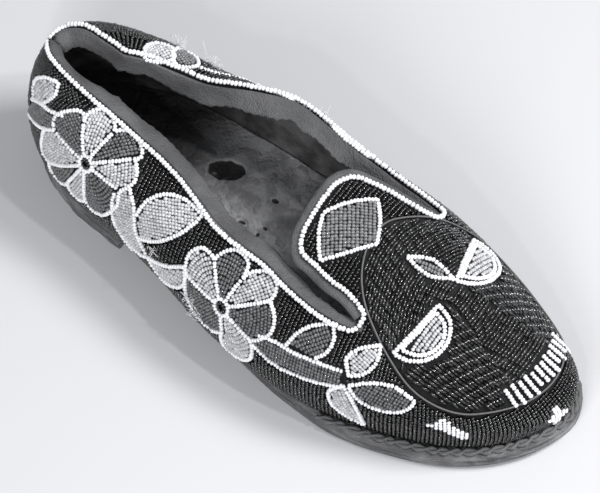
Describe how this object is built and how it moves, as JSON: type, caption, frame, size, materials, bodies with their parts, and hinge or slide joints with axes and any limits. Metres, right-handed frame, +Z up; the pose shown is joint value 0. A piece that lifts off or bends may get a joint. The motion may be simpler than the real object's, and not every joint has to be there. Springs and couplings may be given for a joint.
{
  "type": "beaded slipper",
  "caption": "Worn leather slip-on slipper covered in glass beadwork with flowers and a stylised mask, with a beaded tongue, leather welt and low stacked heel",
  "frame": {"origin": "under the middle of the slipper's bounding box, on the ground", "axes": "+X to the toe, +Y to the medial (inner) side of the foot, +Z up"},
  "size_m": [0.2699, 0.103, 0.0811],
  "materials": {
    "beads_black": "glossy black glass seed beads",
    "beads_white": "opaque white glass seed beads",
    "beads_light_grey": "opaque light glass seed beads",
    "beads_mid_grey": "opaque mid-tone glass seed beads",
    "beads_dark_grey": "dark glass seed beads",
    "beads_bugle": "short lustrous glass bugle beads",
    "upper_leather": "soft worn hide",
    "lining_leather": "worn lining leather",
    "binding_leather": "thin soft hide",
    "sole_leather": "hard compressed leather",
    "insole_leather": "worn flat leather",
    "stiffener": "stiff leather board",
    "cork": "pressed cork",
    "shank_wood": "split wood",
    "waxed_thread": "waxed linen thread",
    "bead_thread": "fine cotton thread",
    "nail_metal": "dull iron"
  },
  "bodies": {
    "root": {"beadwork_quarter_lateral": "beads_black", "beadwork_quarter_medial": "beads_black", "beadwork_vamp": "beads_black", "collar_facing_lateral": "binding_leather", "collar_facing_medial": "binding_leather", "forefoot_filler": "cork", "heel_counter": "stiffener", "heel_lift_1": "sole_leather", "heel_lift_2": "sole_leather", "heel_lift_3": "sole_leather", "heel_nail_1": "nail_metal", "heel_nail_2": "nail_metal", "heel_nail_3": "nail_metal", "heel_nail_4": "nail_metal", "heel_nail_5": "nail_metal", "heel_top_piece": "sole_leather", "insole": "insole_leather", "outsole": "sole_leather", "quarter_leather_lateral": "upper_leather", "quarter_leather_medial": "upper_leather", "quarter_lining_lateral": "lining_leather", "quarter_lining_medial": "lining_leather", "shank": "shank_wood", "sock_liner": "insole_leather", "toe_puff": "stiffener", "tongue_binding": "binding_leather", "tongue_edge_beads": "beads_white", "topline_beads_lateral": "beads_white", "topline_beads_medial": "beads_white", "vamp_leather": "upper_leather", "vamp_lining": "lining_leather", "welt": "sole_leather", "welt_braid": "waxed_thread"}
  },
  "joints": []
}
